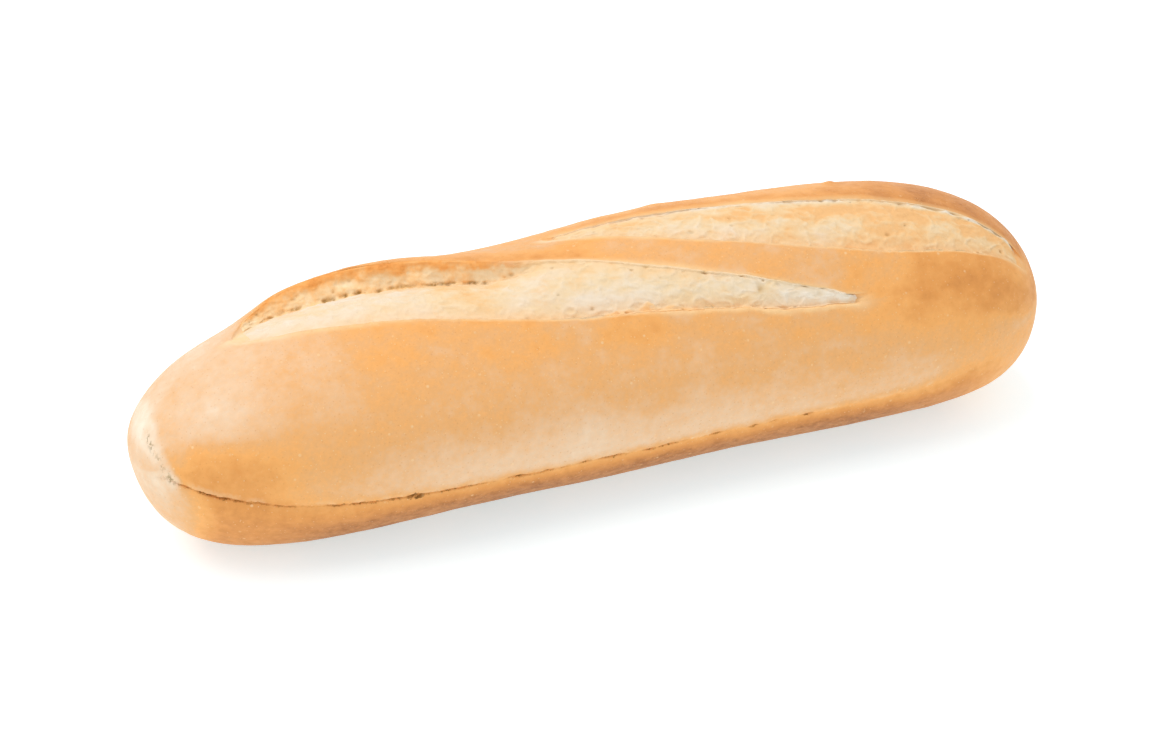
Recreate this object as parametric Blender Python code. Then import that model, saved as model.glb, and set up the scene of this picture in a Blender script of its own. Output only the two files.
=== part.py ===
"""Half baguette: one solid loaf with two slashes in its crust and a crack along each side.

Metres, +Z up. The loaf lies along X and rests on a flat strip of its underside at z = 0.
-Y is the near side, where both slashes lean, and +Y the far side. The origin is at the bottom
centre of the loaf's box.

Sections across the loaf are worked out as rings of points. A point's turn is its angle round the
section: 0 at the top, growing over the far side, and minus or plus pi at the bottom.
"""
import math
from dataclasses import dataclass

import bmesh
import bpy
import numpy as np

MM = 0.001

# The baked loaf before its relief
LENGTH = 240.0 * MM
WIDTH = 72.2 * MM
CROWN_TOP = 58.8 * MM
BELLY_HEIGHT = 26.5 * MM       # height of the widest line
PRESSED_IN = 1.9 * MM          # how much of the round underside the oven's floor has pressed flat
BEND = 6.5 * MM                # how far the middle stands back from the two tips
SADDLE = 3.0 * MM              # dip of the top between the two slashes
SADDLE_AT = -20.0 * MM
SADDLE_REACH = 28.0 * MM

# How bluntly each outline ends: left end, right end, then the power that rounds both
PLAN_ENDS = (3.2, 5.75, 2.4)
CROWN_ENDS = (2.1, 4.6, 2.3)
UNDER_ENDS = (9.6, 12.0, 1.8)

# How square the section is: 2 is an ellipse, and more is boxier
CROWN_ROUND = 1.92
UNDER_ROUND = 2.22

# The crack along each side, over the band that the oven's floor kept low
SEAM_HEIGHT = 17.2 * MM
SEAM_LEAN = 1.1 * MM           # the left end of the crack is higher by twice this
SEAM_END_RISE = 12.7 * MM
SEAM_HALF = 0.9 * MM
SEAM_DEPTH = 0.8 * MM
BAND_SWELL = 0.5 * MM
BAND_REACH = 4.0 * MM

# Slow unevenness of the crust
SWELL = 0.3 * MM
SWELL_LONG = 17.0 * MM

LIP_WIDTH = 0.7 * MM           # across the torn edge of the crust
LIP_REACH = 5.0 * MM           # how far the raised edge runs out into the crust
LIP_RAGGED = 0.35 * MM
CRUMB_CROWN = 0.9 * MM         # how far the crumb bulges inside a slash


@dataclass
class Slash:
    """One cut of the blade, which opened to a pointed lens, and the ear it raised.

    Shares run from 0 at the cut's left end to 1 at its right end. A side's shape is (widest
    opening, lean of the widest place, fullness).
    """

    start: tuple
    end: tuple
    near_side: tuple
    far_side: tuple
    gape: float                # extra opening under the ear
    lip: float                 # rise of the near edge
    crumb: float               # how far the crumb lies under the crust
    crevice: tuple             # depth at the foot of the far wall, under the ear and past it
    crevice_place: tuple       # share of the far opening there, under the ear and past it
    edge: float                # rise of the far edge all along
    ear: float                 # extra rise of the ear
    ear_span: tuple            # shares where the ear stands full, starts to fall and is gone
    overhang: float
    ear_reach: float           # how far the ear runs out into the crust behind it


LEFT_SLASH = Slash(
    start=(-91.8 * MM, 6.7 * MM), end=(62.3 * MM, -24.9 * MM),
    near_side=(6.0 * MM, 0.6, 0.71), far_side=(13.8 * MM, 0.457, 1.126),
    gape=2.0 * MM, lip=0.8 * MM, crumb=1.7 * MM,
    crevice=(3.0 * MM, 2.3 * MM), crevice_place=(0.75, 0.75),
    edge=1.5 * MM, ear=2.6 * MM, ear_span=(0.11, 0.13, 0.6), overhang=1.5 * MM,
    ear_reach=10.0 * MM,
)
RIGHT_SLASH = Slash(
    start=(-9.8 * MM, 13.4 * MM), end=(112.3 * MM, -17.0 * MM),
    near_side=(10.2 * MM, 0.974, 0.84), far_side=(7.3 * MM, 1.92, 0.31),
    gape=0.0, lip=1.1 * MM, crumb=1.9 * MM,
    crevice=(2.8 * MM, 2.8 * MM), crevice_place=(0.8, 0.8),
    edge=1.3 * MM, ear=0.0, ear_span=(0.1, 0.5, 0.6), overhang=0.6 * MM,
    ear_reach=10.0 * MM,
)

# Rings along the loaf, and faces between one feature line and the next, from the bottom up the
# near side, over the top and down the far side (see feature_turns)
RINGS = 98
FACES_BETWEEN = (2, 4, 2, 11, 1, 4, 3, 5, 1, 4, 2, 8, 2, 4, 2)
LEAST_TURN = math.radians(1.6)     # smallest turn between two feature lines

CRUST_COLOUR = (0.83, 0.45, 0.17, 1.0)
CRUST_ROUGHNESS = 0.55


def smooth(value, low, high):
    """0 below low, 1 above high and an S-curve between."""
    share = np.clip((value - low) / (high - low), 0.0, 1.0)
    return share * share * (3.0 - 2.0 * share)


def signed_power(value, power):
    """The power of a value's size, with the value's sign."""
    return np.sign(value) * np.abs(value) ** power


def taper(share, ends):
    """1 in the middle of the loaf, falling in a round end to 0 at each tip."""
    left, right, rounding = ends
    bluntness = np.where(share < 0, left, right)
    return np.clip(1.0 - np.abs(share) ** bluntness, 0.0, 1.0) ** (1.0 / rounding)


def sizes_at(x):
    """Half width, height over the widest line, depth under it and sideways bend at x."""
    share = np.clip(2 * x / LENGTH, -1.0, 1.0)
    dip = SADDLE * np.exp(-((x - SADDLE_AT) / SADDLE_REACH) ** 2)
    half = WIDTH / 2 * taper(share, PLAN_ENDS)
    crown = (CROWN_TOP - BELLY_HEIGHT - dip) * taper(share, CROWN_ENDS)
    under = (BELLY_HEIGHT + PRESSED_IN) * taper(share, UNDER_ENDS)
    bend = BEND * (1 - share ** 2)
    return half, crown, under, bend


def section(x, turn):
    """Point (y, z) of the plain loaf, and the direction (y, z) straight out of its skin."""
    half, crown, under, bend = sizes_at(x)
    across = np.sin(turn)
    up = np.cos(turn)
    tall = np.maximum(np.where(up >= 0, crown, under), 1e-9)
    roundness = np.where(up >= 0, CROWN_ROUND, UNDER_ROUND)
    y = bend + half * signed_power(across, 2 / roundness)
    z = BELLY_HEIGHT + tall * signed_power(up, 2 / roundness)
    out_y = signed_power(across, 2 - 2 / roundness) / np.maximum(half, 1e-9)
    out_z = signed_power(up, 2 - 2 / roundness) / tall
    size = np.hypot(out_y, out_z)
    return y, z, out_y / size, out_z / size


def turn_at_y(x, y):
    """Turn at which the top of the plain loaf has this y."""
    half, _, _, bend = sizes_at(x)
    across = np.clip((y - bend) / np.maximum(half, 1e-9), -0.97, 0.97)
    return np.arcsin(signed_power(across, CROWN_ROUND / 2))


def turn_at_height(x, z):
    """Turn at which the far side of the plain loaf has this height."""
    _, crown, under, _ = sizes_at(x)
    above = np.clip((z - BELLY_HEIGHT) / np.maximum(crown, 1e-9), 0.0, 0.5)
    below = np.clip((BELLY_HEIGHT - z) / np.maximum(under, 1e-9), 0.0, 0.985)
    return np.arccos(above ** (CROWN_ROUND / 2) - below ** (UNDER_ROUND / 2))


def lens(share, side):
    """Opening of one side of a slash: its blade-thin ends and its widest place."""
    widest, lean, fullness = side
    return widest * np.sin(math.pi * np.clip(share, 0.0, 1.0) ** lean) ** fullness


def ragged(x, phase):
    """Small wander of a torn edge."""
    wander = np.sin(x / (9.1 * MM) + phase) + 0.6 * np.sin(x / (4.3 * MM) + 2.3 * phase)
    return LIP_RAGGED * wander / 1.6


def slash_share(slash, x):
    """Where x lies along a slash: 0 at its left end, 1 at its right end."""
    return (x - slash.start[0]) / (slash.end[0] - slash.start[0])


def past_ear(slash, share):
    """0 along the ear, 1 where it is gone."""
    gone = slash.ear_span[2]
    return smooth(share, gone - 0.06, gone + 0.08)


def slash_lines(slash, x, phase):
    """y of a slash's near edge, of its crevice and of its far edge, at x."""
    share = slash_share(slash, x)
    inside = np.clip(share, 0.0, 1.0)
    blade = slash.start[1] + (slash.end[1] - slash.start[1]) * inside
    past = past_ear(slash, share)
    opening = lens(share, slash.far_side) + slash.gape * smooth(inside, 0.0, 0.1) * (1 - past)
    place = slash.crevice_place[0] * (1 - past) + slash.crevice_place[1] * past
    torn = smooth(inside, 0.0, 0.08) * (1 - smooth(inside, 0.92, 1.0))
    near = blade - lens(share, slash.near_side) + torn * ragged(x, phase)
    crevice = blade + opening * place + torn * ragged(x, phase + 3.1)
    far = blade + opening + torn * ragged(x, phase + 1.7)
    return near, crevice, far


def feature_turns(x):
    """Turns of the 16 feature lines at x: the grid round the loaf follows them.

    0 bottom, 1 edge of the flat, 2-3 near crack, 4-7 left slash (near edge, its foot, crevice,
    far edge), 8-11 right slash (the same), 12-13 far crack, 14 edge of the flat, 15 bottom.
    Past the ends of a slash its four lines run on, close together, with no relief.
    """
    half, _, under, _ = sizes_at(x)
    seam = SEAM_HEIGHT - SEAM_LEAN * 2 * x / LENGTH + SEAM_END_RISE * np.abs(2 * x / LENGTH) ** 4
    flat = turn_at_height(x, 0.0)
    seam_low = turn_at_height(x, seam - SEAM_HALF)
    seam_high = np.minimum(turn_at_height(x, seam + SEAM_HALF), seam_low - LEAST_TURN)
    lip_turn = np.maximum(LEAST_TURN, LIP_WIDTH / np.maximum(half, 8 * MM))
    lines = [-math.pi + 0 * x, -flat, -seam_low, -seam_high]
    last = -math.pi / 2 + 0 * x
    for slash, phase in ((LEFT_SLASH, 0.4), (RIGHT_SLASH, 2.9)):
        near, crevice, far = slash_lines(slash, x, phase)
        run_on = np.clip(-slash_share(slash, x), 0.0, 1.0) * math.radians(60.0)
        edge = np.maximum(turn_at_y(x, near) + run_on, last + 2 * LEAST_TURN)
        foot = edge + lip_turn
        bottom = np.maximum(turn_at_y(x, crevice) + run_on, foot + LEAST_TURN)
        last = np.maximum(turn_at_y(x, far) + run_on, bottom + LEAST_TURN)
        lines += [edge, foot, bottom, last]
    lines += [seam_high, seam_low, flat, math.pi + 0 * x]
    return spread_at_tips(x, np.stack(lines, axis=-1))


def spread_at_tips(x, lines):
    """Move the slashes' lines evenly apart towards each tip, and keep those of the cracks."""
    tip = smooth(-x, 92 * MM, 119 * MM) + smooth(x, 111 * MM, 119.6 * MM)
    very_tip = smooth(np.abs(x), 114 * MM, 119.6 * MM)
    spread = lines.copy()
    spread[:, [1, 14]] = np.radians([-136.0, 136.0])
    spread[:, 4:12] = np.radians(np.linspace(-70.0, 70.0, 8))
    lines = lines + (spread - lines) * tip[:, None]
    spread[:, [2, 3, 12, 13]] = np.radians([-97.0, -88.0, 88.0, 97.0])
    return lines + (spread - lines) * very_tip[:, None]


def ring_places():
    """x of each ring, evenly spaced along the loaf's outline, without the two tips."""
    x = -np.cos(np.linspace(0.0, math.pi, 4001)) * LENGTH / 2
    half, crown, under, _ = sizes_at(x)
    size = (half + crown + under) / 3
    run = np.append(0.0, np.cumsum(np.hypot(np.diff(x), np.diff(size))))
    return np.interp(np.linspace(0.0, run[-1], RINGS + 2), run, x)[1:-1]


def along_skin(x, turns):
    """Distance along the skin from the bottom line to each turn, ring by ring."""
    fine = np.linspace(-math.pi, math.pi, 721)
    walks = []
    for place, ring_turns in zip(x, turns):
        y, z, _, _ = section(np.full_like(fine, place), fine)
        run = np.append(0.0, np.cumsum(np.hypot(np.diff(y), np.diff(z))))
        walks.append(np.interp(ring_turns, fine, run))
    return np.array(walks)


def slash_relief(slash, first, x, line, walk, feature_walk):
    """How far a slash lifts the skin, and how far it drags it towards the far side.

    first is the number of the slash's near edge among the feature lines.
    """
    share = slash_share(slash, x)
    opened = np.sin(math.pi * np.clip(share, 0.0, 1.0) ** 0.85) ** 0.6
    ear_full, ear_falls, ear_gone = slash.ear_span
    ear = slash.ear * smooth(share, 0.0, ear_full) * (1 - smooth(share, ear_falls, ear_gone))
    crest = slash.edge * opened + ear
    overhang = slash.overhang * opened * crest / (slash.edge + slash.ear)
    lip = slash.lip * opened
    crumb = slash.crumb * opened
    past = past_ear(slash, share)
    crevice = opened * (slash.crevice[0] * (1 - past) + slash.crevice[1] * past)
    before_lip = feature_walk[:, first, None] - walk
    past_crest = walk - feature_walk[:, first + 3, None]
    down, bed, wall = (np.clip(line - first - step, 0.0, 1.0) for step in range(3))
    lift = np.select(
        [line <= first, line <= first + 1, line <= first + 2, line <= first + 3],
        [
            lip * np.exp(-(before_lip / LIP_REACH) ** 2),
            lip - (crumb + lip) * down,
            CRUMB_CROWN * opened * np.sin(math.pi * bed) - crumb - (crevice - crumb) * bed ** 2,
            (crest + crevice) * (smooth(wall, 0.0, 1.0) + wall ** 2) / 2 - crevice,
        ],
        crest * np.exp(-(past_crest / slash.ear_reach) ** 2),
    )
    fold = np.exp(-(past_crest / (0.35 * slash.ear_reach)) ** 2)
    drag = -overhang * np.where(line <= first + 3, wall ** 1.5, fold)
    return lift, drag


def seam_relief(x, walk, feature_walk):
    """The groove of each side's crack and the swollen band below it."""
    alive = 1 - smooth(np.abs(2 * x / LENGTH), 0.93, 0.99)
    lift = np.zeros_like(walk)
    for low, high, upward in ((2, 3, 1), (12, 13, -1)):
        middle = (feature_walk[:, low] + feature_walk[:, high]) / 2
        above = (walk - middle[:, None]) * upward
        lift -= SEAM_DEPTH * alive * np.exp(-(above / (0.75 * MM)) ** 2)
        band = np.exp(-((above + BAND_REACH) / BAND_REACH) ** 2)
        lift += BAND_SWELL * alive * np.where(above < 0, band, 0.0)
    return lift


def crust_swell(x, turn):
    """Slow bumps and hollows, which fade out at the tips."""
    alive = 1 - smooth(np.abs(2 * x / LENGTH), 0.85, 0.98)
    waves = np.sin(x / SWELL_LONG + 2.1 * turn) + np.sin(x / (0.61 * SWELL_LONG) - 3.0 * turn + 1.3)
    return SWELL * alive * waves / 2


def loaf_points():
    """Points of every ring, as an array of rings, lines round the loaf, and x, y, z."""
    ring_x = ring_places()
    features = feature_turns(ring_x)
    line = np.concatenate([
        np.linspace(number, number + 1, faces, endpoint=False)
        for number, faces in enumerate(FACES_BETWEEN)
    ])
    turns = np.array([np.interp(line, np.arange(features.shape[1]), ring) for ring in features])
    x = np.repeat(ring_x[:, None], len(line), axis=1)
    y, z, out_y, out_z = section(x, turns)
    walk = along_skin(ring_x, turns)
    feature_walk = along_skin(ring_x, features)
    lift = seam_relief(x, walk, feature_walk) + crust_swell(x, turns)
    drag = np.zeros_like(lift)
    for slash, first in ((LEFT_SLASH, 4), (RIGHT_SLASH, 8)):
        raised, dragged = slash_relief(slash, first, x, line[None, :], walk, feature_walk)
        lift += raised
        drag += dragged
    y = y + out_y * lift + out_z * drag
    z = z + out_z * lift - out_y * drag
    y = y - (y.max() + y.min()) / 2
    return np.stack([x, y, np.maximum(z, 0.0)], axis=-1)


def skin_rings(points):
    """Join the rings into a closed skin, with a fan of triangles at each tip."""
    skin = bmesh.new()
    rings = [[skin.verts.new(point) for point in ring] for ring in points]
    for left, right in zip(rings, rings[1:]):
        for here in range(len(left)):
            after = (here + 1) % len(left)
            skin.faces.new((left[here], right[here], right[after], left[after]))
    for ring, tip_x in ((rings[0], -LENGTH / 2), (rings[-1], LENGTH / 2)):
        middle = sum((vert.co.y for vert in ring)) / len(ring)
        tip = skin.verts.new((tip_x, middle, BELLY_HEIGHT))
        for here in range(len(ring)):
            skin.faces.new((ring[here], ring[(here + 1) % len(ring)], tip))
    bmesh.ops.recalc_face_normals(skin, faces=skin.faces)
    bmesh.ops.triangulate(skin, faces=skin.faces)
    return skin


def crust_material():
    """Golden brown crust, dull with a slight sheen."""
    material = bpy.data.materials.new("crust")
    material.use_nodes = True
    shader = material.node_tree.nodes["Principled BSDF"]
    shader.inputs["Base Color"].default_value = CRUST_COLOUR
    shader.inputs["Roughness"].default_value = CRUST_ROUGHNESS
    shader.inputs["Metallic"].default_value = 0.0
    return material


def build_loaf():
    """The whole half baguette as one object."""
    mesh = bpy.data.meshes.new("half_baguette")
    skin = skin_rings(loaf_points())
    skin.to_mesh(mesh)
    skin.free()
    mesh.shade_smooth()
    mesh.materials.append(crust_material())
    loaf = bpy.data.objects.new("half_baguette", mesh)
    bpy.context.scene.collection.objects.link(loaf)
    return loaf


for old in list(bpy.data.objects):
    bpy.data.objects.remove(old, do_unlink=True)
build_loaf()
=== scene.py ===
"""Looks of the half baguette: its baked crust, and the torn crumb in its two slashes.

Metres, in the frame's own axes: +X along the loaf, -Y its near side, +Z up. Only the cells of
random patterns, the tables of places and the colour fields are in mm.

The form is a skin of rings across the loaf. A point's turn is its angle round its ring: 0 at the
top, growing over the far side, plus or minus pi at the bottom. A point's line is its place among
the 16 feature lines, such as the edge of a slash (see feature_turns), which the grids follow.
"""
import itertools
import math
from dataclasses import dataclass

import bpy
import numpy as np
from mathutils import Matrix, Vector


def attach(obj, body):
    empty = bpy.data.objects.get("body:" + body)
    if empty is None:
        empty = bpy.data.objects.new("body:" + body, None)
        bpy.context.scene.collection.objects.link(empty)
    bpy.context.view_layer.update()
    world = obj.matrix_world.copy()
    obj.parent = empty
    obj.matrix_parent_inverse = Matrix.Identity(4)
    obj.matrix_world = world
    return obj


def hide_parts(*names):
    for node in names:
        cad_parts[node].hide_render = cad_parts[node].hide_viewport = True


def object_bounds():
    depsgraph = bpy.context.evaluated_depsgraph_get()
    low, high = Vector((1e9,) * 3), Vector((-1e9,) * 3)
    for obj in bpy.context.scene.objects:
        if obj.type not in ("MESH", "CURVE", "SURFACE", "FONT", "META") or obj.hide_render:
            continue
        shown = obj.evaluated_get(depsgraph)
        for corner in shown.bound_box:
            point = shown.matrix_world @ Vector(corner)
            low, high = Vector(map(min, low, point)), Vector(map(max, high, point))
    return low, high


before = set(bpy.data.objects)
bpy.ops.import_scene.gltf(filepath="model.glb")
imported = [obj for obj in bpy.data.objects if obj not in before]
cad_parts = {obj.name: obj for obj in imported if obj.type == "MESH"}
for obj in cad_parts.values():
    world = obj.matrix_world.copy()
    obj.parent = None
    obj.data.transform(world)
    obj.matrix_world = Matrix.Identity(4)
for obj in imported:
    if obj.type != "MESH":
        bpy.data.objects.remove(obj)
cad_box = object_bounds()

MM = 0.001
BOX_LOW = np.array(cad_box[0])
BOX_HIGH = np.array(cad_box[1])
TIP_LINE = -5.67 * MM         # y of the line through both tips, in the frame

# The baked loaf before its relief
LENGTH = BOX_HIGH[0] - BOX_LOW[0]
WIDTH = 72.2 * MM
CROWN_TOP = 58.8 * MM
BELLY_HEIGHT = 26.5 * MM       # height of the widest line
PRESSED_IN = 1.9 * MM          # how much of the round underside the oven's floor has pressed flat
BEND = 6.5 * MM                # how far the middle stands back from the two tips
SADDLE = 3.0 * MM              # dip of the top between the two slashes
SADDLE_AT = -20.0 * MM
SADDLE_REACH = 28.0 * MM

# How bluntly each outline ends: left end, right end, then the power that rounds both
PLAN_ENDS = (3.2, 5.75, 2.4)
CROWN_ENDS = (2.1, 4.6, 2.3)
UNDER_ENDS = (9.6, 12.0, 1.8)

# How square the section is: 2 is an ellipse, and more is boxier
CROWN_ROUND = 1.92
UNDER_ROUND = 2.22

# The crack along each side, over the band that the oven's floor kept low
CRACK_HEIGHT = 17.2 * MM
CRACK_LEAN = 1.1 * MM          # the left end of the crack is higher by twice this
CRACK_END_RISE = 12.7 * MM
CRACK_HALF = 0.9 * MM          # half the strip of close lines that the crack runs in
CRACK_WANDER = 0.45 * MM
CRACK_DEPTH = 0.9 * MM
CRACK_WIDTH = 0.2 * MM
CRACK_LIP = 0.09 * MM          # rise of the crust's torn edge over the crack
BAND_SWELL = 0.5 * MM
BAND_REACH = 4.0 * MM

# Unevenness of the crust: slow swells, lumps and a fine grain
SWELL = 0.3 * MM
SWELL_LONG = 17.0 * MM
LUMP = 0.16 * MM
GRAIN = 0.035 * MM

LIP_WIDTH = 0.7 * MM           # across the torn edge of the crust
LIP_REACH = 5.0 * MM           # how far the raised edge runs out into the crust
LIP_RAGGED = 0.35 * MM
LIP_FINE = 0.22 * MM           # finer ragging, on top
EAR_REACH = 10.0 * MM          # how far the far edge's rise runs out into the crust behind
CRUMB_CROWN = 0.9 * MM         # how far the crumb bulges inside a slash
BED_SINK = 1.4 * MM            # how far the crust's own bed lies under the crumb pieces


@dataclass
class Slash:
    """One cut of the blade, which opened to a pointed lens, and the ear it raised.

    Shares run from 0 at the cut's left end to 1 at its right end. A side's shape is (widest
    opening, lean of the widest place, fullness).
    """

    first: int                 # number of its near edge among the feature lines
    start: tuple
    end: tuple
    near_side: tuple
    far_side: tuple
    gape: float                # extra opening under the ear
    lip: float                 # rise of the near edge
    crumb: float               # how far the crumb lies under the crust
    crevice: tuple             # depth at the foot of the far wall, under the ear and past it
    crevice_place: float       # share of the far opening there
    edge: float                # rise of the far edge all along
    ear: float                 # extra rise of the ear
    ear_span: tuple            # shares where the ear stands full, starts to fall and is gone
    overhang: float
    phase: float               # of the wander of its torn edges


LEFT_SLASH = Slash(
    first=4, start=(-91.8 * MM, 6.7 * MM), end=(62.3 * MM, -24.9 * MM),
    near_side=(6.0 * MM, 0.6, 0.71), far_side=(13.8 * MM, 0.457, 1.126),
    gape=2.0 * MM, lip=0.8 * MM, crumb=1.7 * MM,
    crevice=(3.0 * MM, 2.3 * MM), crevice_place=0.75,
    edge=1.5 * MM, ear=2.6 * MM, ear_span=(0.11, 0.13, 0.6), overhang=1.5 * MM,
    phase=0.4,
)
RIGHT_SLASH = Slash(
    first=8, start=(-9.8 * MM, 13.4 * MM), end=(112.3 * MM, -17.0 * MM),
    near_side=(10.2 * MM, 0.974, 0.84), far_side=(7.3 * MM, 1.92, 0.31),
    gape=0.0, lip=1.1 * MM, crumb=1.9 * MM,
    crevice=(2.8 * MM, 2.8 * MM), crevice_place=0.8,
    edge=1.3 * MM, ear=0.0, ear_span=(0.1, 0.5, 0.6), overhang=0.6 * MM,
    phase=2.9,
)
SLASHES = (LEFT_SLASH, RIGHT_SLASH)

# The crust's grid: rings along the loaf, and faces between one feature line and the next
RINGS = 556
FACES_BETWEEN = (3, 16, 12, 56, 4, 3, 9, 17, 4, 3, 9, 22, 8, 7, 3)
WALLS = (6, 10)                # stretches whose lines draw together towards the far edge
LEAST_TURN = math.radians(1.6)

# The crumb's grid: rings along a slash, lines across it, and lines back under it
CRUMB_SPACING = 0.26 * MM
CRUMB_ENDS = (0.004, 0.997)    # shares of the slash where its rings start and stop
CRUMB_EDGES = (0.3, 2.99)      # its first line and, under an ear, its last, past the near edge
CRUMB_LINES = 112
CRUMB_UNDER = 18
CRUMB_THICK = 1.6 * MM
OVERLAP = 0.6 * MM             # how far the crumb runs on under the far edge, past the ear


# ---- small maths

def smooth(value, low, high):
    """0 below low, 1 above high and an S-curve between."""
    share = np.clip((value - low) / (high - low), 0.0, 1.0)
    return share * share * (3.0 - 2.0 * share)


def fall(value, low, high):
    """1 below low, 0 above high and an S-curve between."""
    return 1 - smooth(value, low, high)


def between(value, *ends):
    """0, a rise to 1 between the first two ends, and a fall to 0 between the last two."""
    return smooth(value, *ends[:2]) * fall(value, *ends[2:])


def bump(value, middle, reach):
    """1 at the middle, falling in a bell to nothing about two reaches away."""
    return np.exp(-((value - middle) / reach) ** 2)


def signed_power(value, power):
    """The power of a value's size, with the value's sign."""
    return np.sign(value) * np.abs(value) ** power


NOISE_TABLE = 64


def cloud(points, cell, seed):
    """Soft random field, from -1 to 1.

    Seeded random numbers sit on a lattice whose cell has the given size, and each point blends
    the eight numbers round it by an S-curve of its place in the cell.
    """
    table = np.random.default_rng(seed).uniform(-1.0, 1.0, (NOISE_TABLE,) * 3)
    place = points / cell
    corner = np.floor(place).astype(int)
    share = place - corner
    share = share * share * (3.0 - 2.0 * share)
    total = np.zeros(points.shape[:-1])
    for step in itertools.product((0, 1), repeat=3):
        weight = np.prod(np.where(step, share, 1.0 - share), axis=-1)
        index = (corner + step) % NOISE_TABLE
        total += weight * table[index[..., 0], index[..., 1], index[..., 2]]
    return total


def clouds(points, cell, seed, octaves):
    """Several clouds, each with half the cell and half the weight of the last, within -1 to 1.

    The first cell is in mm, one size for all ways or one each along x, y and z.
    """
    weights = 0.5 ** np.arange(octaves)
    layers = [
        weight * cloud(points, np.asarray(cell) * MM * weight, seed + number)
        for number, weight in enumerate(weights)
    ]
    return sum(layers) / weights.sum()


TORN_ASLANT = -24.0            # degrees round +Z of the torn strands


def aslant(points):
    """The points turned round +Z, so that a stretched pattern runs with the torn strands."""
    angle = math.radians(TORN_ASLANT)
    x, y, z = np.moveaxis(points, -1, 0)
    across = y * math.cos(angle) - x * math.sin(angle)
    return np.stack([x * math.cos(angle) + y * math.sin(angle), across, z], axis=-1)


# ---- the loaf's plain form

def taper(share, ends):
    """1 in the middle of the loaf, falling in a round end to 0 at each tip.

    It is a root of 1 less a power of the share, and each end has its own power.
    """
    left, right, rounding = ends
    bluntness = np.where(share < 0, left, right)
    return np.clip(1.0 - np.abs(share) ** bluntness, 0.0, 1.0) ** (1.0 / rounding)


def sizes_at(x):
    """Half width, height over the widest line, depth under it and sideways bend at x.

    Each size is its middle value times a taper, and the bend is a parabola.
    """
    share = np.clip(2 * x / LENGTH, -1.0, 1.0)
    dip = SADDLE * bump(x, SADDLE_AT, SADDLE_REACH)
    half = WIDTH / 2 * taper(share, PLAN_ENDS)
    crown = (CROWN_TOP - BELLY_HEIGHT - dip) * taper(share, CROWN_ENDS)
    under = (BELLY_HEIGHT + PRESSED_IN) * taper(share, UNDER_ENDS)
    bend = BEND * (1 - share ** 2)
    return half, crown, under, bend


def section(x, turn):
    """Point (y, z) of the plain loaf, and the direction (y, z) straight out of its skin.

    Across, the half width times the sine of the turn, and up, the height times its cosine, each
    to the power that squares the section. The direction is the slope of the same curve.
    """
    half, crown, under, bend = sizes_at(x)
    across = np.sin(turn)
    up = np.cos(turn)
    tall = np.maximum(np.where(up >= 0, crown, under), 1e-9)
    roundness = np.where(up >= 0, CROWN_ROUND, UNDER_ROUND)
    y = bend + half * signed_power(across, 2 / roundness)
    z = BELLY_HEIGHT + tall * signed_power(up, 2 / roundness)
    out_y = signed_power(across, 2 - 2 / roundness) / np.maximum(half, 1e-9)
    out_z = signed_power(up, 2 - 2 / roundness) / tall
    size = np.hypot(out_y, out_z)
    return y, z, out_y / size, out_z / size


def turn_at_y(x, y):
    """Turn at which the top of the plain loaf has this y."""
    half, _, _, bend = sizes_at(x)
    across = np.clip((y - bend) / np.maximum(half, 1e-9), -0.97, 0.97)
    return np.arcsin(signed_power(across, CROWN_ROUND / 2))


def turn_at_height(x, z):
    """Turn at which the far side of the plain loaf has this height."""
    _, crown, under, _ = sizes_at(x)
    above = np.clip((z - BELLY_HEIGHT) / np.maximum(crown, 1e-9), 0.0, 0.5)
    below = np.clip((BELLY_HEIGHT - z) / np.maximum(under, 1e-9), 0.0, 0.985)
    return np.arccos(above ** (CROWN_ROUND / 2) - below ** (UNDER_ROUND / 2))


# ---- feature lines

def lens(share, side):
    """Opening of one side of a slash, from one blade-thin end to the other.

    It is the widest opening times a power of a half sine, and a power of the share leans it.
    """
    widest, lean, fullness = side
    return widest * np.sin(math.pi * np.clip(share, 0.0, 1.0) ** lean) ** fullness


def wavy_line(x, cell, seed):
    """Random wander along x, from -1 to 1. Its cell is in mm."""
    places = np.stack([x, np.full_like(x, seed * 0.37), np.zeros_like(x)], axis=-1)
    return clouds(places, cell, seed, 2)


def ragged(x, phase):
    """Wander of a torn edge: two slow waves and a fine random one."""
    wander = np.sin(x / (9.1 * MM) + phase) + 0.6 * np.sin(x / (4.3 * MM) + 2.3 * phase)
    return LIP_RAGGED * wander / 1.6 + LIP_FINE * wavy_line(x, 1.9, int(10 * phase))


def slash_share(slash, x):
    """Where x lies along a slash: 0 at its left end, 1 at its right end."""
    return (x - slash.start[0]) / (slash.end[0] - slash.start[0])


def past_ear(slash, share):
    """0 along the ear, 1 where it is gone."""
    *_, gone = slash.ear_span
    return smooth(share, gone - 0.06, gone + 0.08)


def slash_lines(slash, x):
    """y of a slash's near edge, of its crevice and of its far edge, at x.

    They lie about the blade's straight path, each by its opening and its own torn wander.
    """
    share = slash_share(slash, x)
    inside = np.clip(share, 0.0, 1.0)
    blade = slash.start[1] + (slash.end[1] - slash.start[1]) * inside
    gape = slash.gape * smooth(inside, 0.0, 0.1) * (1 - past_ear(slash, share))
    opening = lens(share, slash.far_side) + gape
    torn = between(inside, 0.0, 0.08, 0.92, 1.0)
    near = blade - lens(share, slash.near_side) + torn * ragged(x, slash.phase)
    crevice = blade + opening * slash.crevice_place + torn * ragged(x, slash.phase + 3.1)
    far = blade + opening + torn * ragged(x, slash.phase + 1.7)
    return near, crevice, far


def crack_middle(x):
    """Height of the crack at x: it leans, rises to both ends and wanders."""
    share = 2 * x / LENGTH
    wander = CRACK_WANDER * wavy_line(x, 11.0, 5)
    return CRACK_HEIGHT - CRACK_LEAN * share + CRACK_END_RISE * np.abs(share) ** 4 + wander


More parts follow.
